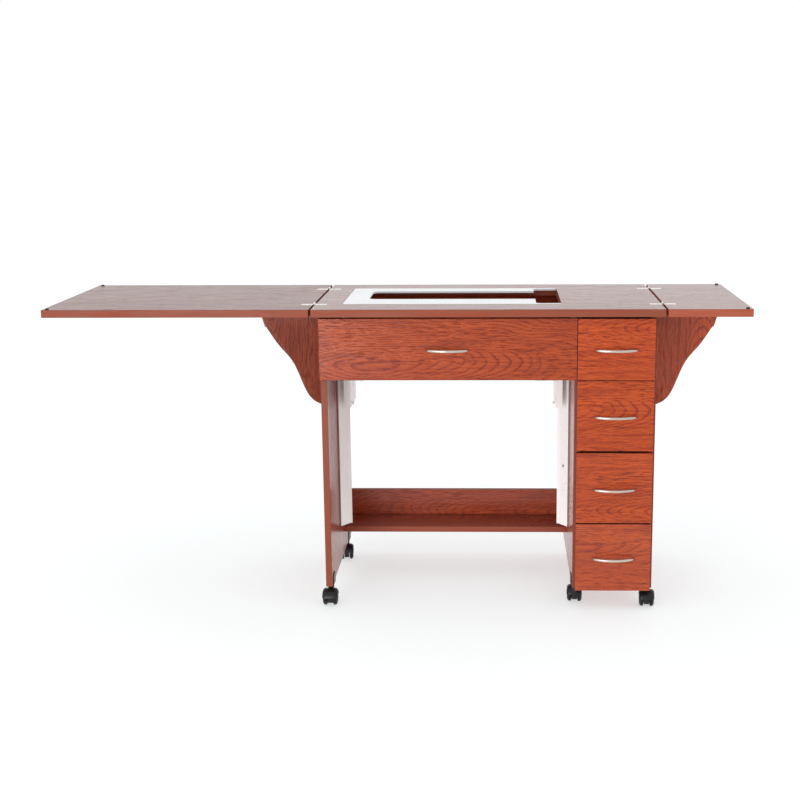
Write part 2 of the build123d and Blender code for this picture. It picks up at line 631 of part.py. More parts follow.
def caster_bracket(x, y, leg_x):
    """An angle: its foot under the board's edge, its leg up the board's face."""
    half = BRACKET_LENGTH / 2
    foot_x = span(leg_x, 2 * x - leg_x - 2 * (1 if x > leg_x else -1))
    outward = 2 if leg_x > x else -2
    leg = block(span(leg_x, leg_x - outward), (y - half, y + half), (CASTER_HUNG, CASTER_HUNG + BRACKET_LEG))
    leg = fillet(leg.edges().filter_by(Axis.X).group_by(Axis.Z)[-1], 9)
    foot = block(foot_x, (y - half, y + half), (CASTER_HUNG, CARCASS_BOTTOM))
    return leg + foot - rod(x, y, CASTER_HUNG, 6.0, 20, "Z")


def build_caster(name, x, y, angle, leg_x):
    """A twin-wheel caster: bracket, socket, hood with stem, wheels on an axle."""
    bracket = caster_bracket(x, y, leg_x)
    inward = 1 if x > leg_x else -1
    for dy in (-11.0, 11.0):
        bracket = fasten(bracket, SMALL_SCREW, leg_x, y + dy, CASTER_HUNG + 18, (inward, 0, 0))
    caster_brackets.append(bracket)
    caster_sockets.append(rod(x, y, 69, SOCKET_R, 30, "Z") - rod(x, y, 69, STEM_R + 0.05, 40, "Z"))
    caster_holes.append(rod(x, y, 69, SOCKET_R, 30, "Z"))

    place = Pos(x, y, 0) * Rot(0, 0, angle)
    centre = Pos(0, -CASTER_TRAIL, WHEEL_R)
    disc = centre * Rot(0, 90, 0) * Cylinder(HOOD_DISC_R, HOOD_WIDTH)
    neck = block((-HOOD_WIDTH / 2, HOOD_WIDTH / 2), (-CASTER_TRAIL, 8), (18, 44))
    boss = rod(0, 0, 43.5, 8.0, 14, "Z")
    ring = centre * Rot(0, 90, 0) * (Cylinder(23.6, 39) - Cylinder(21.2, 50))
    ring = ring & block((-25, 25), (-60, 30), (24, 60))
    web_top = centre * Rot(0, 90, 0) * Cylinder(22, HOOD_WIDTH) & block((-25, 25), (-60, 30), (24, 60))
    collar = rod(0, 0, 51.0, 6.0, 1.4, "Z")
    hood = disc + neck + boss + ring + web_top + collar
    hood = hood - centre * Rot(0, 90, 0) * Cylinder(3.05, 20)
    stem = rod(0, 0, 61.5, STEM_R, 43, "Z")
    hood = hood - stem
    save(f"caster_{name}_hood", [place * hood, place * stem])

    rim = [
        Line((WHEEL_INNER, 3.0), (WHEEL_INNER, 18.8)),
        Line((WHEEL_INNER, 18.8), (WHEEL_INNER + 1.2, WHEEL_R)),
        Line((WHEEL_INNER + 1.2, WHEEL_R), (13.0, WHEEL_R)),
        ThreePointArc((13.0, WHEEL_R), (17.6, 17.0), (19.4, 10.0)),
        Line((19.4, 10.0), (18.4, 9.0)),
        Line((18.4, 9.0), (18.4, 3.0)),
        Line((18.4, 3.0), (WHEEL_INNER, 3.0)),
    ]
    profile = make_face(Wire(rim))
    wheel = revolve(profile, Axis.X)
    wheels = [wheel, mirror(wheel, Plane.YZ)]
    axle = rod(0, 0, 0, 3.0, 38, "X")
    save(f"caster_{name}_wheels", [place * centre * s for s in wheels + [axle]])


LEG_FACES = {-404.0: -396.0, 220.0: 212.0, 404.0: 396.0}
for name, x, y, angle in CASTERS:
    face = LEG_FACES[x]
    leg_face = face + (2 if face > x else -2)
    build_caster(name, x, y, angle, leg_face)

left_panel = cut(left_panel, caster_holes[0:2] + cabinet_screw_blanks)
partition = cut(partition, caster_holes[2:3] + cabinet_screw_blanks)
right_panel = cut(right_panel, caster_holes[3:5] + cabinet_screw_blanks)
for x, y in ((404.0, 64.0), (404.0, 428.0)):
    notch = block((392, 397), (y - 20, y + 20), (50, 82))
    pedestal_bottom = pedestal_bottom - notch
top = cut(top, cabinet_screw_blanks)

save("main_top", top)
save("left_side_panel", left_panel)
save("partition_panel", partition)
save("right_side_panel", right_panel)
save("pedestal_bottom", pedestal_bottom)
save("leaf_hinge_fixed_plates", leaf_fixed_plates)
save("steel_hinge_fixed_leaves", wing_fixed_leaves + drop_fixed_leaves)
save("hinge_pins", hinge_pins)
save("caster_brackets_and_sockets", caster_brackets + caster_sockets)
save("cabinet_screws", cabinet_screws)
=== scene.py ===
# %% [markdown]
# A sewing table on casters. The working model comes in first as a fixed frame: every
# board, hinge and wheel is already in its place, in metres, with Z up and the floor at
# Z = 0. Everything below dresses that frame, and nothing in it is moved.

import json
import math

import bmesh
import bpy
from mathutils import Matrix, Vector


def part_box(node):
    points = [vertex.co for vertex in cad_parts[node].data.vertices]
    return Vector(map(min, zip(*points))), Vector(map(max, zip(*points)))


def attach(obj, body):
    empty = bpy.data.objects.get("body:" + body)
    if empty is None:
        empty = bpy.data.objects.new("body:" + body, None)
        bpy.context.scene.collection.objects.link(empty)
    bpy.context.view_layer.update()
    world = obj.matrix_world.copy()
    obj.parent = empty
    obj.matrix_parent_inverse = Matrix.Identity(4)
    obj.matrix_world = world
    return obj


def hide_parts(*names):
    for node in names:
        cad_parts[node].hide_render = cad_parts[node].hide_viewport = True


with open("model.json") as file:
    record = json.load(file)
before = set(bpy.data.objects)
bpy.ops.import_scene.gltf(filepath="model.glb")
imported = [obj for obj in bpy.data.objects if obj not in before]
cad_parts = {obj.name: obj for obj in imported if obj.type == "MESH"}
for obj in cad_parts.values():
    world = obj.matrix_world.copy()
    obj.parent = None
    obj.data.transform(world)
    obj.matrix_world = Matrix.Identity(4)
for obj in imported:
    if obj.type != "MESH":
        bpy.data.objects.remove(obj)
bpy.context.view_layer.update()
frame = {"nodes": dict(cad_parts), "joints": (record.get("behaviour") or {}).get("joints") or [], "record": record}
nodes = frame["nodes"]
MM = 0.001
UP = Vector((0, 0, 1))

# %% [markdown]
# A material is a small graph of nodes. Wiring each one by hand hides what it does, so
# two helpers keep it readable. `Val` wraps the output of a node, and Python's own signs
# on it add Math nodes. `Finish` starts a material and adds any other node with one
# method: its settings first, then the values or links of its sockets.


# %% The value that a node gives
class Val:
    """The output of a node. Arithmetic on it adds Math nodes."""

    def __init__(self, finish, socket):
        self.finish = finish
        self.socket = socket

    def math(self, operation, *values):
        inputs = dict(enumerate(values))
        return self.finish.node("ShaderNodeMath", {"operation": operation}, inputs)

    def __add__(self, other):
        return self.math("ADD", self, other)

    def __radd__(self, other):
        return self.math("ADD", other, self)

    def __sub__(self, other):
        return self.math("SUBTRACT", self, other)

    def __rsub__(self, other):
        return self.math("SUBTRACT", other, self)

    def __mul__(self, other):
        return self.math("MULTIPLY", self, other)

    def __rmul__(self, other):
        return self.math("MULTIPLY", other, self)

    def __truediv__(self, other):
        return self.math("DIVIDE", self, other)

    def __pow__(self, other):
        return self.math("POWER", self, other)

    def __abs__(self):
        return self.math("ABSOLUTE", self)

    def fract(self):
        return self.math("FRACT", self)

    def ease(self, low, high, to_low=0.0, to_high=1.0):
        """0 below `low`, 1 above `high` and a smooth step between, or other ends."""
        inputs = {0: self, 1: low, 2: high, 3: to_low, 4: to_high}
        settings = {"interpolation_type": "SMOOTHSTEP"}
        return self.finish.node("ShaderNodeMapRange", settings, inputs)


# %% A finish, which is one material
class Finish:
    """One material. `node` adds a node, and the rest are short ways to common ones."""

    def __init__(self, name):
        self.material = bpy.data.materials.new(name)
        self.material.use_nodes = True
        self.tree = self.material.node_tree
        self.tree.nodes.clear()

    def node(self, kind, settings=(), inputs=(), out=0):
        made = self.tree.nodes.new(kind)
        for key, value in dict(settings).items():
            setattr(made, key, value)
        for key, value in dict(inputs).items():
            if isinstance(value, Val):
                self.tree.links.new(value.socket, made.inputs[key])
            else:
                made.inputs[key].default_value = value
        return Val(self, made.outputs[out])

    def axes(self, output="Object"):
        """The X, Y and Z of the piece's own coordinates, or of its own normal."""
        coordinates = self.node("ShaderNodeTexCoord", out=output)
        made = self.node("ShaderNodeSeparateXYZ", {}, {0: coordinates})
        outputs = made.socket.node.outputs
        return [Val(self, outputs[i]) for i in range(3)]

    def noise(self, x, y, z, detail=3.0, roughness=0.5):
        """Cloudy noise over three values, so each can be stretched on its own."""
        point = self.node("ShaderNodeCombineXYZ", {}, {0: x, 1: y, 2: z})
        inputs = {"Vector": point, "Scale": 1.0, "Detail": detail, "Roughness": roughness}
        return self.node("ShaderNodeTexNoise", {"noise_dimensions": "3D"}, inputs)

    def blend(self, share, a, b, how="MIX"):
        settings = {"data_type": "RGBA", "blend_type": how}
        return self.node("ShaderNodeMix", settings, {0: share, 6: a, 7: b}, out=2)

    def bump(self, height, distance, strength=1.0):
        inputs = {"Height": height, "Distance": distance, "Strength": strength}
        return self.node("ShaderNodeBump", {}, inputs)

    def done(self, **inputs):
        """Ends the material in one Principled shader; input names use _ for a space."""
        named = {key.replace("_", " "): value for key, value in inputs.items()}
        shader = self.node("ShaderNodeBsdfPrincipled", {}, named)
        end = self.tree.nodes.new("ShaderNodeOutputMaterial")
        self.tree.links.new(shader.socket, end.inputs[0])
        return self.material


# %% Colours
def tint(red, green, blue):
    """A colour as mixed on a screen, 0 to 255, as the linear values that nodes use.

    The curve is right for levels above 10, and every colour here stays above that.
    """
    shares = [level / 255 for level in (red, green, blue)]
    return (*(((share + 0.055) / 1.055) ** 2.4 for share in shares), 1.0)


def scaled(colour, by):
    """A colour made lighter or darker by one factor."""
    return tuple(level * by for level in colour[:3]) + (1.0,)


print("mid grey as a linear colour:", [round(c, 3) for c in tint(128, 128, 128)])

# %% [markdown]
# The boards are chipboard under a cherry laminate. The print shows plain-sawn cherry:
# rings cut at a slant, which make nested arches, with fine fibres and pores between
# them, and the surface is pressed along the same lines, so it feels like grain. Real
# rings are cylinders about the heart of the trunk. So the pattern here is the distance
# to a slanting line a few centimetres behind the board, which gives the arches by
# itself, bent a little by noise. Four kinds of mark lie over each other: the arches,
# broken into dashes, long streaks, short dark pores and hair-fine fibres. The cut edges
# carry a plain banding without gloss, found from the way in which the surface faces.

# %% Colours and measures of the cherry
AXIS = {"X": 0, "Y": 1, "Z": 2}
CHERRY_LIGHT = tint(196, 81, 28)
CHERRY_MID = tint(152, 49, 15)
CHERRY_DARK = tint(80, 22, 12)
BANDING = tint(131, 66, 47)
RING_SLANT = 0.17            # how steeply the rings lean through the board
RING_SPACING = 4.5 * MM
HEART_SIZE = 0.02            # the rings are blunt within this distance of the heart
EMBOSS_DEPTH = 1 * MM
print("ring every", round(RING_SPACING / RING_SLANT / MM), "mm along the grain")


# %% Cherry laminate
def third_axis(first, second):
    return ({"X", "Y", "Z"} - {first, second}).pop()


def cherry(name, grain, through, heart, coat, tone_and_painted_shade, band_tone_and_sheen):
    """Laminate with its grain along one axis, on a board that is thin `through` another.

    heart is where the rings' middle passes: along the grain, across it and behind it.
    """
    f = Finish(name)
    xyz = f.axes()
    facing = f.axes("Normal")
    along = xyz[AXIS[grain]] - heart[0]
    wide = xyz[AXIS[third_axis(grain, through)]] - heart[1]
    deep = xyz[AXIS[through]] - heart[2]

    def marks(length, width, detail, roughness=0.5):
        """Noise drawn out along the grain; the numbers are marks in a metre."""
        return f.noise(along * length, wide * width, deep * width, detail, roughness)

    wander = marks(3.1, 11, 2.0) - 0.5
    ripple = marks(19, 60, 3.0) - 0.5
    side = wide + wander * 0.055 + ripple * 0.008
    behind = along * RING_SLANT + wander * 0.02
    distance = (side * side + behind * behind + HEART_SIZE**2) ** 0.5
    ring = (distance / RING_SPACING).fract()
    arch = ring.ease(0.55, 0.93) * ring.ease(0.94, 1.0, 1.0, 0.0)

    fibre = marks(16, 420, 4.0, 0.6)
    streak = marks(9, 150, 3.0, 0.55)
    pore = marks(34, 380, 2.0)
    broken = marks(85, 260, 2.0)
    cloud = marks(2.3, 7, 2.0)
    patch = marks(5, 17, 1.0).ease(0.36, 0.6)
    arch = arch * (patch * 0.8 + 0.2) * broken.ease(0.38, 0.56, 0.25, 1.0)
    pore = pore.ease(0.54, 0.66) * (1.25 - patch)

    dark = streak.ease(0.42, 0.68) * 0.28 + arch * 0.62 + pore * 0.42 + (fibre - 0.5) * 0.95
    colour = f.blend(dark.ease(-0.15, 0.5), CHERRY_LIGHT, CHERRY_MID)
    colour = f.blend(dark.ease(0.35, 1.1), colour, CHERRY_DARK)
    colour = f.blend(cloud.ease(0.3, 0.75, 0.0, 0.35), colour, CHERRY_MID)
    # Painted shade: the whole print is multiplied by the board's factor, partly its own tone and partly shade
    # painted in where the board stands in shadow.
    colour = f.blend(1.0, colour, (tone_and_painted_shade, tone_and_painted_shade, tone_and_painted_shade, 1.0), "MULTIPLY")

    edge = abs(facing[AXIS[through]]).ease(0.55, 0.8, 1.0, 0.0)
    # The banding's lightness per board is partly a painted sheen, as on the right leaf's edge.
    band = f.blend(streak.ease(0.4, 0.7, 0.0, 0.35), scaled(BANDING, band_tone_and_sheen), CHERRY_MID)
    pressed = fibre * 0.6 + streak.ease(0.4, 0.7) * 0.4 + arch * 0.5 + pore * 0.8
    rough = marks(8, 60, 2.0).ease(0.3, 0.7, 0.26, 0.36)
    return f.done(
        Base_Color=f.blend(edge, colour, band),
        Roughness=rough + pore * 0.15 + edge * 0.2,
        Specular_IOR_Level=0.25,
        Coat_Weight=(1 - edge) * coat,
        Coat_Roughness=0.16,
        Normal=f.bump(1 - pressed * (1 - edge), EMBOSS_DEPTH, 0.8),
    )


# %% [markdown]
# Each board is cut from its own sheet, so each needs its own arches. A short table says
# for every board which way the grain runs, which way the board is thin and where the
# middle of the rings lies, in metres from the middle of the board itself: along the
# grain, across it and behind it. The tops are made darker and glossier than the fronts,
# so each board also has its gloss, its shade and the lightness of its banding. Shade and
# banding lightness are partly painted light: the left wing, under its leaf, is darkened
# as painted shade, the fronts step darker from the top drawer down with the drop panel
# darkest, and the right leaf's banding is lightened as a painted sheen.

# %% Cherry on the boards
# Columns: grain, thin axis, heart offset, gloss, shade factor (partly painted shade) and banding lightness (partly
# painted sheen).
GRAIN = {
    "main_top": ("X", "Z", (0.35, 0.09, 0.0), 0.64, 0.42, 1.05),
    "left_leaf": ("X", "Z", (-0.28, -0.06, 0.0), 0.42, 0.36, 1.0),
    "right_leaf": ("X", "Z", (0.25, 0.03, 0.0), 0.66, 0.42, 1.6),
    "machine_platform": ("X", "Z", (0.2, 0.05, 0.0), 0.2, 0.8, 1.0),
    "left_side_panel": ("Z", "X", (0.45, -0.03, 0.0), 0.38, 0.6, 0.9),
    "partition_panel": ("Z", "X", (-0.4, 0.05, 0.0), 0.5, 0.7, 1.0),
    "right_side_panel": ("Z", "X", (0.3, 0.02, 0.0), 0.5, 0.7, 1.0),
    "pedestal_back": ("Z", "Y", (0.25, 0.01, 0.0), 0.1, 0.8, 1.0),
    "pedestal_bottom": ("Y", "Z", (0.1, 0.02, 0.0), 0.1, 0.8, 1.0),
    "rear_apron": ("X", "Y", (0.2, -0.02, 0.0), 0.1, 0.8, 1.0),
    "front_rail": ("X", "Z", (0.2, 0.0, 0.0), 0.1, 0.8, 1.0),
    "shelf": ("X", "Z", (-0.3, 0.01, 0.0), 0.5, 0.6, 1.25),
    "shelf_back_board": ("X", "Y", (0.4, -0.03, 0.0), 0.6, 0.85, 1.0),
    "drop_panel": ("X", "Y", (-0.17, -0.035, 0.0), 0.12, 0.72, 1.0),
    "drawer_1_front": ("X", "Y", (0.28, 0.05, 0.0), 0.05, 0.93, 1.0),
    "drawer_2_front": ("X", "Y", (-0.24, 0.01, 0.0), 0.05, 0.88, 1.0),
    "drawer_3_front": ("X", "Y", (0.22, -0.06, 0.0), 0.15, 0.88, 1.0),
    "drawer_4_front": ("X", "Y", (-0.08, 0.03, 0.0), 0.45, 0.84, 1.0),
    "left_wing": ("Z", "Y", (0.2, -0.05, 0.0), 0.2, 0.49, 1.0),
    "right_wing": ("Z", "Y", (-0.25, 0.04, 0.0), 0.35, 0.94, 1.0),
}


def middle_of(node):
    low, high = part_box(node)
    return (low + high) / 2


def board_finish(node):
    """The cherry for one board, with its heart measured from the board's middle."""
    # The shade and banding factors unpacked here partly paint shade and sheen into the colour.
    grain, through, offset, coat, tone_and_painted_shade, band_tone_and_sheen = GRAIN[node]
    centre = middle_of(node)
    directions = (grain, third_axis(grain, through), through)
    heart = [centre[AXIS[axis]] + move for axis, move in zip(directions, offset)]
    return cherry(f"cherry {node}", grain, through, heart, coat, tone_and_painted_shade, band_tone_and_sheen)


def wear(node, material):
    """Give a carried-over node its finish."""
    nodes[node].data.materials.clear()
    nodes[node].data.materials.append(material)


for node in GRAIN:
    wear(node, board_finish(node))
print("cherry boards:", len(GRAIN))

# %% [markdown]
# Metals differ in how they were finished. Nickel plate is bright with hair-fine
# brushing, zinc plate is duller with a faint spangle, and powder coat is paint that
# flowed into a skin like orange peel. All three are one recipe with other numbers: a
# stretched noise for the brushing, a cloudy one for the tone, a fine bump.


# %% Metal and paint
def metal(name, colour, rough, brush, cloud=0.12, bump=0.02 * MM, metallic=1.0):
    """Plated or painted metal with brush marks, a cloudy tone and rubbed patches."""
    f = Finish(name)
    x, y, z = f.axes()
    hair = f.noise(x * brush[0], y * brush[1], z * brush[2], 3.0)
    tone = f.noise(x * 21, y * 21, z * 21, 3.0)
    rubbed = f.noise(x * 90, y * 90, z * 90, 2.0).ease(0.4, 0.7)
    return f.done(
        Base_Color=f.blend(tone.ease(0.35, 0.65), colour, scaled(colour, 1 - cloud)),
        Metallic=metallic,
        Roughness=hair.ease(0.3, 0.7, rough * 0.8, rough * 1.2) + rubbed * 0.05,
        Normal=f.bump(hair, bump),
    )


def painted(name, colour, rough, peel, cloud, bump):
    """Paint or powder coat, which is the same recipe without the metal."""
    return metal(name, colour, rough, (peel, peel, peel), cloud, bump, 0.0)


# %% [markdown]
# Moulded plastic and rubber take their look from the tool that shaped them: a fine even
# texture from spark erosion, a slight sheen, and scuffs where they roll or rub.


# %% Plastic and rubber
def moulded(name, colour, rough, texture=1400, bump=0.05 * MM, scuff=0.1):
    """Moulded plastic or rubber with a fine texture and lighter scuffs."""
    f = Finish(name)
    x, y, z = f.axes()
    fine = f.noise(x * texture, y * texture, z * texture, 2.0)
    scuffs = f.noise(x * 130, y * 130, z * 60, 4.0, 0.7).ease(0.55, 0.72)
    lighter = tuple(level * 1.5 + 0.02 for level in colour[:3]) + (1.0,)
    return f.done(
        Base_Color=f.blend(scuffs * scuff * 4, colour, lighter),
        Roughness=fine.ease(0.3, 0.7, rough * 0.88, rough * 1.1) + scuffs * 0.1,
        Specular_IOR_Level=0.3,
        Normal=f.bump(fine, bump),
    )


# %% [markdown]
# The drawer boxes are plain board with a pale melamine face: a printed grain so faint
# that it is only a change of tone, under a hard skin with tiny pebbles.


# %% Pale board of the drawer boxes
def melamine(name):
    """Melamine-faced board, with its faint grain running to the back."""
    f = Finish(name)
    x, y, z = f.axes()
    grain = f.noise(x * 60, y * 6, z * 60, 4.0, 0.6)
    pebble = f.noise(x * 1500, y * 1500, z * 1500, 1.0)
    return f.done(
        Base_Color=f.blend(grain.ease(0.35, 0.7), tint(222, 208, 186), tint(203, 184, 156)),
        Roughness=pebble.ease(0.3, 0.7, 0.34, 0.44),
        Normal=f.bump(pebble, 0.04 * MM),
    )


# %% [markdown]
# The insert round the machine's bed is a frosted sheet: milky, faintly cool, and even.
# Two noises are enough, a fine one for the frost and a wide one for the haze inside.


# %% Acrylic of the insert
def acrylic(name):
    """Frosted acrylic, with a soft sheen on its face."""
    f = Finish(name)
    x, y, z = f.axes()
    frost = f.noise(x * 1800, y * 1800, z * 1800, 2.0)
    haze = f.noise(x * 9, y * 9, z * 9, 2.0)
    return f.done(
        Base_Color=f.blend(haze.ease(0.3, 0.7), tint(236, 238, 241), tint(226, 229, 234)),
        Roughness=frost.ease(0.3, 0.7, 0.2, 0.3),
        Coat_Weight=0.3,
        Coat_Roughness=0.1,
        Normal=f.bump(frost, 0.02 * MM),
    )


# %% [markdown]
# The record names a finish for every part, so the small parts are dressed by that name.
# Black plastic is never quite black, because a black material would show no shape.

# %% Finishes for the small parts
EVEN = (300, 300, 300)
finishes = {
    "satin_nickel": metal("satin nickel", tint(206, 193, 184), 0.3, (60, 60, 1500)),
    "bright_nickel": metal("bright nickel", tint(240, 234, 224), 0.16, (500, 60, 500)),
    "zinc_steel": metal("zinc plate", tint(196, 194, 188), 0.34, EVEN, 0.2, 0.04 * MM),
    "polished_rod": metal("polished rod", tint(226, 226, 228), 0.1, (900, 900, 20)),
    "white_powder_coat": painted(
        "white powder coat", tint(252, 249, 248), 0.3, 420, 0.02, 0.12 * MM
    ),
    "runner_enamel": painted("runner enamel", tint(232, 226, 212), 0.32, 380, 0.04, 0.1 * MM),
    "black_enamel": painted("black enamel", tint(30, 30, 32), 0.22, 300, 0.2, 0.05 * MM),
    "black_steel": metal("black zinc", tint(48, 46, 46), 0.38, EVEN, 0.2, 0.04 * MM, 0.8),
    "bumper_rubber": moulded("bumper rubber", tint(52, 44, 42), 0.6, 900),
    "caster_nylon": moulded("caster nylon", tint(24, 23, 24), 0.34, 1500, 0.04 * MM, 0.06),
    "caster_wheel_nylon": moulded("wheel nylon", tint(22, 21, 22), 0.42, 1500, scuff=0.16),
    "catch_plastic": moulded("catch plastic", tint(96, 58, 40), 0.42),
    "drawer_box_board": melamine("drawer melamine"),
    "frosted_acrylic": acrylic("frosted acrylic"),
}
for part in frame["record"]["subparts"]:
    if part["node"] not in GRAIN:
        wear(part["node"], finishes[part["material_slot"]])
print("finishes:", len(finishes))

# %% [markdown]
# Some parts deserve more shape than a working model needs. Each becomes a new mesh that
# stands for its carried-over node and rides on the same body. One helper does that
# bookkeeping: it shades the mesh smooth but keeps creases crisp, gives it its finish
# and slot, and hides the node that it stands for.

# %% Turn a mesh into a piece of the table
members_of = frame["record"]["behaviour"]["bodies"]
body_of_node = {node: body for body, members in members_of.items() for node in members}


def piece(bm, name, node, material, crease=32):
    """Link a bmesh as a piece that stands for a node and rides on that node's body."""
    mesh = bpy.data.meshes.new(name)
    bm.to_mesh(mesh)
    bm.free()
    mesh.shade_smooth()
    mesh.set_sharp_from_angle(angle=math.radians(crease))
    mesh.materials.append(material)
    made = bpy.data.objects.new(name, mesh)
    bpy.context.scene.collection.objects.link(made)
    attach(made, body_of_node[node])
    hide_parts(node)
    print(name, "faces:", len(mesh.polygons))


# %% [markdown]
# Bevel and mirror are used again and again below with the same settings, so each has a
# short form here. A bevel rounds with three faces. A mesh that was spun or mirrored may
# have doubled points on its seam, open ends, or faces that look inwards, and there is a
# short form to mend each of these.

# %% Short forms of the operators
SAME_PLACE = 1e-6
RIM_ANGLE = math.radians(50)


def rounded(bm, edges, offset, clamp=False):
    bmesh.ops.bevel(
        bm, geom=edges, offset=offset, segments=3, affect="EDGES", profile=0.5, material=-1,
        clamp_overlap=clamp,
    )


def round_rims(bm, verts, offset):
    """Round the sharp edges that end in these vertices."""
    around = {e for v in verts for e in v.link_edges if len(e.link_faces) == 2}
    rounded(bm, [e for e in around if e.calc_face_angle() > RIM_ANGLE], offset)


def mirror_x(bm):
    everything = bm.verts[:] + bm.edges[:] + bm.faces[:]
    bmesh.ops.mirror(bm, geom=everything, axis="X", merge_dist=SAME_PLACE)


def merge_doubles(bm):
    bmesh.ops.remove_doubles(bm, verts=bm.verts[:], dist=SAME_PLACE)


def fill_ends(bm):
    bmesh.ops.holes_fill(bm, edges=[e for e in bm.edges if e.is_boundary], sides=0)


def face_outwards(bm):
    bmesh.ops.recalc_face_normals(bm, faces=bm.faces[:])


# %% [markdown]
# The wings are sawn boards, and a sawn edge is never a knife edge: it is eased a
# little, which draws a thin light line round the whole ogee. The outline is already
# right on the carried-over node, so a copy of it is merged into clean flat faces and
# the long edges are bevelled. The small rims of the screw holes stay as they are.

# %% Wings with eased edges
EASE = 1.1 * MM
LEAST_SIDE = 1e-5            # square metres; the walls of the screw holes are smaller
FLAT = math.radians(0.4)


def eased_board(node, name):
    bm = bmesh.new()
    bm.from_mesh(nodes[node].data)
    merge_doubles(bm)
    bmesh.ops.dissolve_limit(bm, angle_limit=FLAT, verts=bm.verts[:], edges=bm.edges[:])
    rims = []
    for edge in bm.edges:
        sides = edge.link_faces
        if len(sides) == 2 and edge.calc_face_angle() > RIM_ANGLE:
            if min(side.calc_area() for side in sides) > LEAST_SIDE:
                rims.append(edge)
    rounded(bm, rims, EASE, clamp=True)
    print(name, "eased edges:", len(rims))
    piece(bm, name, node, nodes[node].data.materials[0])


for side in ("left", "right"):
    eased_board(f"{side}_wing", f"{side}_wing_board")

# %% [markdown]
# A bow handle is a flattened bar bent to a shallow bow between two short legs. A bend
# is what `spin` makes, so the bar is drawn as a bender would make it: an oval section
# pushed along the first leg, round the tight corner, round the long bow, round the
# second corner and back down. Its legs narrow towards the screws. The radius of the bow
# follows from the other sizes, so that the two ends meet the screws exactly.

# %% Sizes of a bow handle
HANDLE_HALF = 53 * MM
LEG = 9.5 * MM
STEEP = math.radians(65)
SHALLOW = math.radians(27.5)
CORNER_R = 10 * MM
SECTION = Vector((2.1 * MM, 3.3 * MM, 1))
CORNER_RUN = CORNER_R * (math.sin(STEEP) - math.sin(SHALLOW))
BOW_R = (HANDLE_HALF - LEG * math.cos(STEEP) - CORNER_RUN) / math.sin(SHALLOW)
NARROW_FROM = 0.72           # share of the half length where the bar starts to narrow
NARROWING = 0.3
SCREW_INSET = 0.4 * MM
print("bow radius, mm:", round(BOW_R / MM, 1))


# %% Bend and push a rim
def ahead(heading):
    return Vector((math.cos(heading), math.sin(heading), 0))


def bend(bm, rim, at, heading, radius, angle, steps):
    """Spin a rim round a left-hand bend, and give the new rim, place and heading."""
    left = Vector((-math.sin(heading), math.cos(heading), 0))
    centre = at + left * radius
    made = bmesh.ops.spin(
        bm, geom=rim, cent=centre, axis=UP, angle=angle, steps=steps, use_duplicate=False
    )
    turn = Matrix.Rotation(angle, 3, "Z")
    return made["geom_last"], centre + turn @ (at - centre), heading + angle


def push(bm, rim, at, heading, length):
    """Extrude a rim straight ahead."""
    edges = [g for g in rim if isinstance(g, bmesh.types.BMEdge)]
    made = bmesh.ops.extrude_edge_only(bm, edges=edges)["geom"]
    step = ahead(heading) * length
    verts = [g for g in made if isinstance(g, bmesh.types.BMVert)]
    bmesh.ops.translate(bm, verts=verts, vec=step)
    return [g for g in made if not isinstance(g, bmesh.types.BMFace)], at + step, heading


# %% [markdown]
# The screws come from behind, through the front and into the legs of the handle. A pan
# head is a low cylinder with a rounded rim, so both parts of a screw are cylinders and
# only the rim at the far end of each is bevelled.

# %% Screws from behind
SHANK_R = 2.0 * MM
HEAD_R = 4.0 * MM
HEAD_HIGH = 2.4 * MM
HEAD_ROUND = 0.5 * MM
RIGHT_ANGLE = math.radians(90)


def screw_part(bm, radius, depth, place):
    """A cylinder that runs rearwards from a place, with its far rim rounded."""
    centre = place + Vector((0, depth / 2, 0))
    turn = Matrix.Rotation(-RIGHT_ANGLE, 4, "X")
    made = bmesh.ops.create_cone(
        bm, cap_ends=True, segments=20, radius1=radius, radius2=radius, depth=depth,
        matrix=Matrix.Translation(centre) @ turn,
    )
    round_rims(bm, [v for v in made["verts"] if v.co.y > centre.y], HEAD_ROUND)


def add_screw(bm, place, length):
    screw_part(bm, SHANK_R, length, place)
    screw_part(bm, HEAD_R, HEAD_HIGH, place + Vector((0, length, 0)))


# %% A bow handle
def bow_handle(node, face_y, screw_length):
    bm = bmesh.new()
    oval = bmesh.ops.create_circle(bm, cap_ends=False, segments=28, radius=1.0)["verts"]
    bmesh.ops.scale(bm, verts=oval, vec=SECTION)
    at, heading = Vector((-HANDLE_HALF, 0, 0)), -STEEP
    upright = Matrix.Rotation(RIGHT_ANGLE, 3, "X")
    face_on = ahead(heading).to_track_quat("-Y", "Z").to_matrix()
    bmesh.ops.rotate(bm, verts=oval, cent=(0, 0, 0), matrix=face_on @ upright)
    bmesh.ops.translate(bm, verts=oval, vec=at)

    rim = bm.edges[:] + bm.verts[:]
    rim, at, heading = push(bm, rim, at, heading, LEG)
    rim, at, heading = bend(bm, rim, at, heading, CORNER_R, STEEP - SHALLOW, 8)
    rim, at, heading = bend(bm, rim, at, heading, BOW_R, 2 * SHALLOW, 36)
    rim, at, heading = bend(bm, rim, at, heading, CORNER_R, STEEP - SHALLOW, 8)
    push(bm, rim, at, heading, LEG)
    for v in bm.verts:
        share = (abs(v.co.x) / HANDLE_HALF - NARROW_FROM) / (1 - NARROW_FROM)
        v.co.z *= 1 - NARROWING * min(1.0, max(0.0, share))
        v.co.y = min(v.co.y, 0.0)
    fill_ends(bm)
    face_outwards(bm)

    centre = middle_of(node)
    centre.y = face_y
    bmesh.ops.translate(bm, verts=bm.verts[:], vec=centre)
    for end in (-1, 1):
        add_screw(bm, centre + Vector((end * (HANDLE_HALF - SCREW_INSET), 0, 0)), screw_length)
    piece(bm, f"{node}_bar", node, finishes["satin_nickel"], 40)


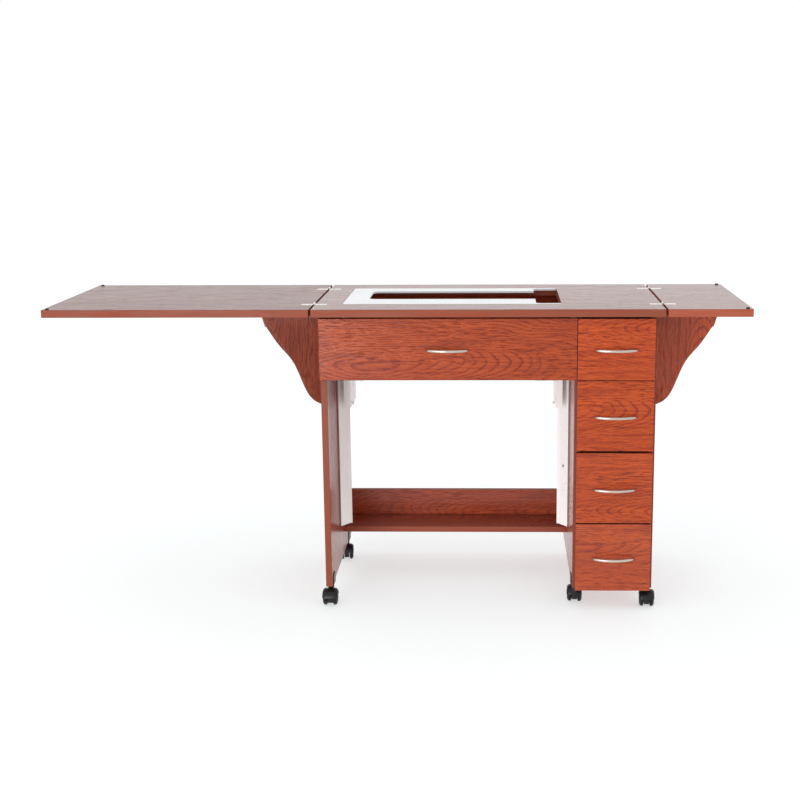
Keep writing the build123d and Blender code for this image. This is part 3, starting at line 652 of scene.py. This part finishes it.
# %% Five handles
front_low, front_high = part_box("drop_panel")
front_thick = front_high.y - front_low.y
BOX_WALL = 12 * MM
bow_handle("drop_panel_handle", front_low.y, front_thick)
for number in range(1, 5):
    bow_handle(f"drawer_{number}_handle", front_low.y, front_thick + BOX_WALL)
print("screw through a drawer, mm:", round((front_thick + BOX_WALL) / MM, 1))

# %% [markdown]
# A furniture caster runs on two moulded wheels on one axle. A wheel is round, so it is
# a spun profile: half of the axle, the wheel's inner face, the tread with its groove,
# the rounded shoulder, the dished outer face and the hub cap. The half is spun once
# round the axle and mirrored. It is made about its own axle, so one helper gives the
# matrix that carries it to its caster.

# %% Caster wheels
AXLE_R = 2.95
WHEEL_HALF = (               # place along the axle and radius, in millimetres
    (0.0, AXLE_R), (7.6, AXLE_R), (7.6, 14.0), (8.4, 15.0), (8.4, 18.6), (9.4, 19.7),
    (11.2, 19.9), (11.7, 19.4), (12.2, 19.9), (13.6, 19.85), (15.6, 19.0), (17.3, 17.2),
    (18.3, 14.8), (18.7, 12.2), (18.1, 11.4), (17.3, 10.2), (17.3, 6.6), (18.6, 5.9),
    (19.1, 3.6), (19.3, 0.0),
)


def outline(bm, section, outwards, closed=False):
    """Draw a section, given as places along X and radii, as a chain of edges."""
    verts = [bm.verts.new((Vector((x, 0, 0)) + outwards * r) * MM) for x, r in section]
    pairs = [(verts[-1], verts[0])] if closed else []
    pairs += zip(verts, verts[1:])
    return verts + [bm.edges.new(pair) for pair in pairs]


def spin_x(bm, drawn, angle, steps, full):
    bmesh.ops.spin(
        bm, geom=drawn, cent=(0, 0, 0), axis=(1, 0, 0), angle=angle, steps=steps, use_merge=full
    )


def at_axle(place, along):
    """The matrix from a shape made about X at the origin to an axle at a place."""
    turn = Matrix((along, UP.cross(along), UP)).transposed().to_4x4()
    return Matrix.Translation(place) @ turn


def wheel_pair(roll):
    """Both wheels and the axle of one caster, along the joint's own axis."""
    bm = bmesh.new()
    spin_x(bm, outline(bm, WHEEL_HALF, UP), math.tau, 56, True)
    merge_doubles(bm)
    mirror_x(bm)
    face_outwards(bm)
    bm.transform(at_axle(roll["pos_m"], Vector(roll["axis"]).normalized()))
    node = roll["child"]
    piece(bm, f"{node}_pair", node, finishes["caster_wheel_nylon"], 38)


joint_named = {joint["name"]: joint for joint in frame["joints"]}
rolls = [joint for name, joint in joint_named.items() if name.endswith("_roll")]
for roll in rolls:
    wheel_pair(roll)

# %% [markdown]
# The hood over the wheels is one moulding. Its shell follows the shoulders of the
# wheels at an even gap, so it is the same kind of shape as the wheels: half of its
# section is spun over the top of them only, mirrored, and its open ends are filled.

# %% Shell of a caster hood
HOOD_HALF = (                # outside from the middle to the rim, then inside back
    (0.0, 23.4), (11.0, 23.4), (13.4, 23.1), (15.6, 22.2), (17.4, 20.9), (18.8, 19.0),
    (19.5, 16.9), (18.5, 16.7), (17.9, 18.3), (16.4, 20.1), (14.2, 21.1), (11.0, 21.4),
    (0.0, 21.4),
)
HOOD_FROM = math.radians(10)


def hood_shell(bm):
    start = Vector((0, math.cos(HOOD_FROM), math.sin(HOOD_FROM)))
    spin_x(bm, outline(bm, HOOD_HALF, start), math.pi - 2 * HOOD_FROM, 36, False)
    mirror_x(bm)
    merge_doubles(bm)
    fill_ends(bm)
    face_outwards(bm)


# %% [markdown]
# Between the wheels the hood has a web that fills the shell, a hub with a bore for the
# axle, and a neck and a boss behind it for the stem on which the caster turns. These
# are closed shapes of their own that reach into each other, as ribs do in a moulding.
# They are made in a second bmesh, because the web is cut by a plane that must not cut
# the shell.

# %% Web, hub and stem of a caster hood
WEB_WIDTH = 13.4
WEB_R = 22.0
WEB_FROM = 4 * MM
HUB_HALF = WEB_WIDTH / 2
HUB_R = 16.0
BORE_R = 3.05
HUB_SECTION = ((-HUB_HALF, BORE_R), (-HUB_HALF, HUB_R), (HUB_HALF, HUB_R), (HUB_HALF, BORE_R))
NECK_SIZE = Vector((WEB_WIDTH, 21, 26)) * MM
NECK_MIDDLE = Vector((0, 14.5, 11)) * MM
NECK_ROUND = 2 * MM
STEM_BACK = 17.0
BOSS_ROUND = 1 * MM


def add_rod(bm, radius, depth, back, height, turn=Matrix()):
    """A closed cylinder behind and above the axle, with all sizes in millimetres."""
    at = Matrix.Translation(Vector((0, back, height)) * MM)
    made = bmesh.ops.create_cone(
        bm, cap_ends=True, segments=48, radius1=radius * MM, radius2=radius * MM,
        depth=depth * MM, matrix=at @ turn,
    )
    return made["verts"]


def hood_middle(bm):
    add_rod(bm, WEB_R, WEB_WIDTH, 0, 0, Matrix.Rotation(RIGHT_ANGLE, 4, "Y"))
    bmesh.ops.bisect_plane(
        bm, geom=bm.verts[:] + bm.edges[:] + bm.faces[:], plane_co=UP * WEB_FROM,
        plane_no=UP, clear_inner=True,
    )
    fill_ends(bm)
    spin_x(bm, outline(bm, HUB_SECTION, UP, closed=True), math.tau, 48, True)
    neck = bmesh.ops.create_cube(bm, size=1.0)["verts"]
    bmesh.ops.scale(bm, verts=neck, vec=NECK_SIZE)
    bmesh.ops.translate(bm, verts=neck, vec=NECK_MIDDLE)
    round_rims(bm, neck, NECK_ROUND)
    round_rims(bm, add_rod(bm, 8.0, 14, STEM_BACK, 23.5), BOSS_ROUND)
    add_rod(bm, 6.0, 1.4, STEM_BACK, 31.0)
    add_rod(bm, 3.96, 43, STEM_BACK, 41.5)
    face_outwards(bm)


# %% Caster hoods
def caster_hood(roll, swivel):
    bm = bmesh.new()
    hood_middle(bm)
    web = bpy.data.meshes.new("web")
    bm.to_mesh(web)
    bm.clear()
    hood_shell(bm)
    bm.from_mesh(web)
    bpy.data.meshes.remove(web)

    back = Vector(swivel["pos_m"]) - Vector(roll["pos_m"])
    back.z = 0
    bm.transform(at_axle(roll["pos_m"], back.normalized().cross(UP)))
    node = roll["child"].replace("_wheels", "_hood")
    piece(bm, f"{node}_moulding", node, finishes["caster_nylon"], 35)


for roll in rolls:
    caster_hood(roll, joint_named[roll["name"].replace("_roll", "_swivel")])

# %% [markdown]
# The table stands on a wide pale floor in a white room of light. A large soft panel low
# at the front left gives the fronts their direction and a sheen at their left ends, and
# the rest of the room fills the shadows. The floor is a lightbox, lit a little from
# below, so only a soft grey pool is left under the casters. Its colour leans away from
# red, against the light that the red boards throw on it.

# %% Floor
FLOOR_SIZE = 60.0
FLOOR_GLOW = 0.53
FLOOR_TONES = ((0.48, 0.52, 0.525, 1), (0.49, 0.53, 0.535, 1))
floor_mesh = bpy.data.meshes.new("floor")
floor = bpy.data.objects.new("floor", floor_mesh)
bpy.context.scene.collection.objects.link(floor)
bm = bmesh.new()
bmesh.ops.create_grid(bm, x_segments=1, y_segments=1, size=FLOOR_SIZE / 2)
bm.to_mesh(floor_mesh)
bm.free()
f = Finish("floor")
x, y, z = f.axes()
floor_mesh.materials.append(
    f.done(
        Base_Color=f.blend(f.noise(x * 3, y * 3, z, 2.0), *FLOOR_TONES),
        Roughness=0.7,
        Specular_IOR_Level=0.1,
        Emission_Color=(1.0, 1.0, 1.0, 1.0),
        Emission_Strength=FLOOR_GLOW,
    )
)
print("floor, m:", FLOOR_SIZE)

# %% Light
world = bpy.data.worlds.new("studio")
bpy.context.scene.world = world
world.use_nodes = True
room = world.node_tree.nodes["Background"]
room.inputs["Color"].default_value = (1.0, 1.0, 1.0, 1)
room.inputs["Strength"].default_value = 1.0

PANEL_AT = Vector((-1.0, -2.9, 0.45))
PANEL_AIM = Vector((0.0, 0, 0.55))
PANEL_SIZE = 0.85
PANEL_POWER = 33


def panel_light(name, place, target, size, power):
    """A soft square light panel that looks at a point."""
    lamp = bpy.data.lights.new(name, "AREA")
    lamp.shape = "SQUARE"
    lamp.size = size
    lamp.energy = power
    made = bpy.data.objects.new(name, lamp)
    bpy.context.scene.collection.objects.link(made)
    made.location = place
    made.rotation_mode = "QUATERNION"
    made.rotation_quaternion = (target - place).to_track_quat("-Z", "Y")
    print(name, "W:", power)


panel_light("key panel", PANEL_AT, PANEL_AIM, PANEL_SIZE, PANEL_POWER)

# %% [markdown]
# The camera stands 3.4 m in front of the table, a little to the right of its middle and
# above its top, with a long lens, as for a catalogue. It looks down a little, and its
# sensor is shifted rather than turned, so that the uprights stay upright.

# %% Camera
CAMERA_AT = (0.2449, -3.4304, 1.2178)
CAMERA_TURN = math.radians(1.526)
CAMERA_TILT = math.radians(90 - 11.9)
CAMERA_ROLL = math.radians(-0.31)
camera_data = bpy.data.cameras.new("camera")
camera_data.sensor_width = 36.0
camera_data.lens = 60.09
camera_data.shift_x = -0.077
camera = bpy.data.objects.new("camera", camera_data)
bpy.context.scene.collection.objects.link(camera)
turn = Matrix.Rotation(CAMERA_TURN, 4, "Z")
tilt = Matrix.Rotation(CAMERA_TILT, 4, "X")
roll = Matrix.Rotation(CAMERA_ROLL, 4, "Z")
camera.matrix_world = Matrix.Translation(CAMERA_AT) @ turn @ tilt @ roll
bpy.context.scene.camera = camera
bpy.context.scene.view_settings.view_transform = "Standard"
print("lens, mm:", camera_data.lens)
